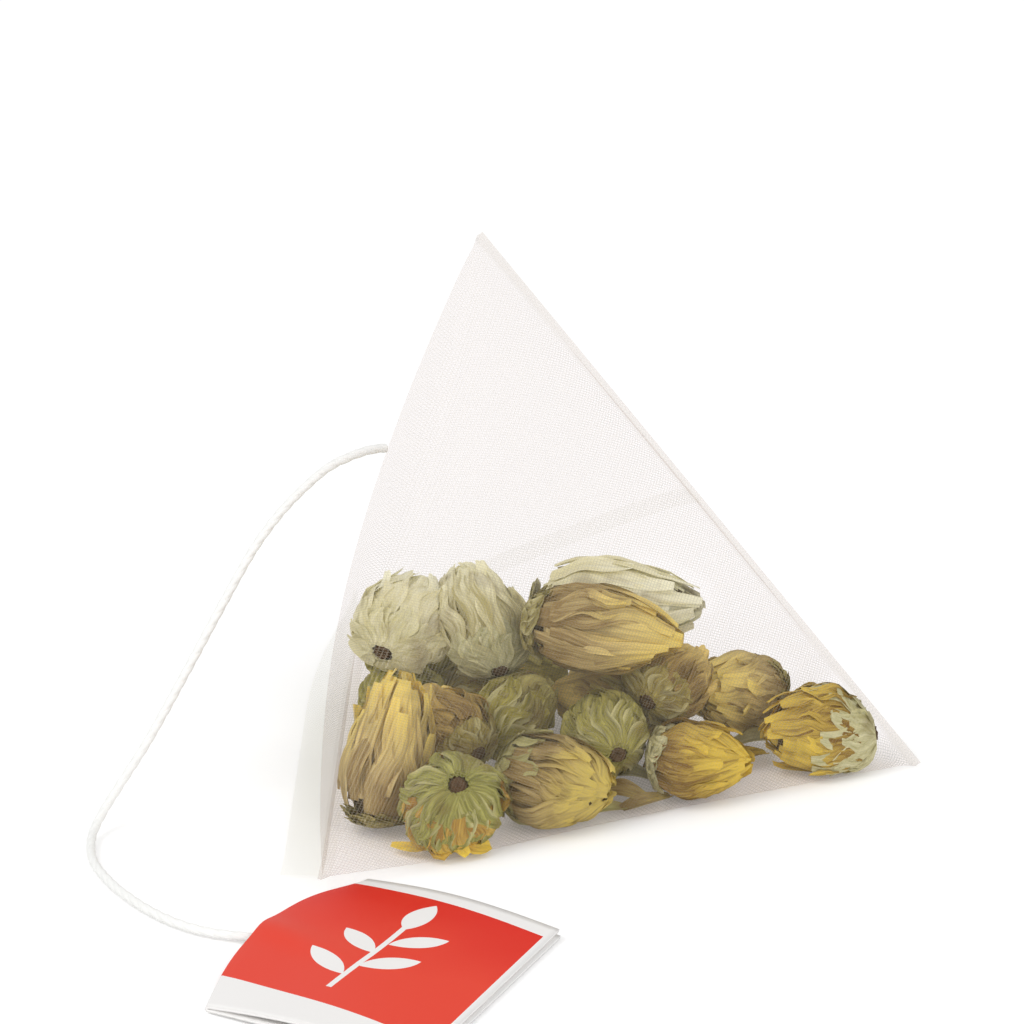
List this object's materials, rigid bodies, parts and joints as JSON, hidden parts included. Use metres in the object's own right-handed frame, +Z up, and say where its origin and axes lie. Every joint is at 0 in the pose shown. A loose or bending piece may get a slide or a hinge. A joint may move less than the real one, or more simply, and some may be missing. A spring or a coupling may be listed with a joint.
{
  "type": "pyramid tea bag",
  "caption": "Heat-sealed mesh pyramid pouch holding dried flower buds, with a cotton string and a folded paper tag.",
  "frame": {"origin": "under the middle of the pouch, on the table it rests on", "axes": "+Z up, +Y from the front corner of the closing seal to its back corner, +X from the closing seal to the right corner; the tag lies towards -Y"},
  "size_m": [0.0692, 0.0961, 0.0476],
  "materials": {
    "mesh": "fine woven polymer mesh, heat sealed",
    "cotton": "loosely twisted cotton",
    "card": "printed paper card",
    "dried_petals": "dry flower petals",
    "dried_calyx": "dry petals and green calyx"
  },
  "bodies": {
    "root": {"mesh_bag": "mesh", "string": "cotton", "tag": "card", "bud_01": "dried_petals", "bud_02": "dried_calyx", "bud_03": "dried_calyx", "bud_04": "dried_petals", "bud_05": "dried_calyx", "bud_06": "dried_calyx", "bud_07": "dried_petals", "bud_08": "dried_calyx", "bud_09": "dried_calyx", "bud_10": "dried_petals", "bud_11": "dried_calyx", "bud_12": "dried_calyx", "bud_13": "dried_petals", "bud_14": "dried_calyx", "bud_15": "dried_calyx", "bud_16": "dried_petals", "bud_17": "dried_calyx", "bud_18": "dried_calyx", "bud_19": "dried_petals", "bud_20": "dried_calyx"}
  },
  "joints": []
}
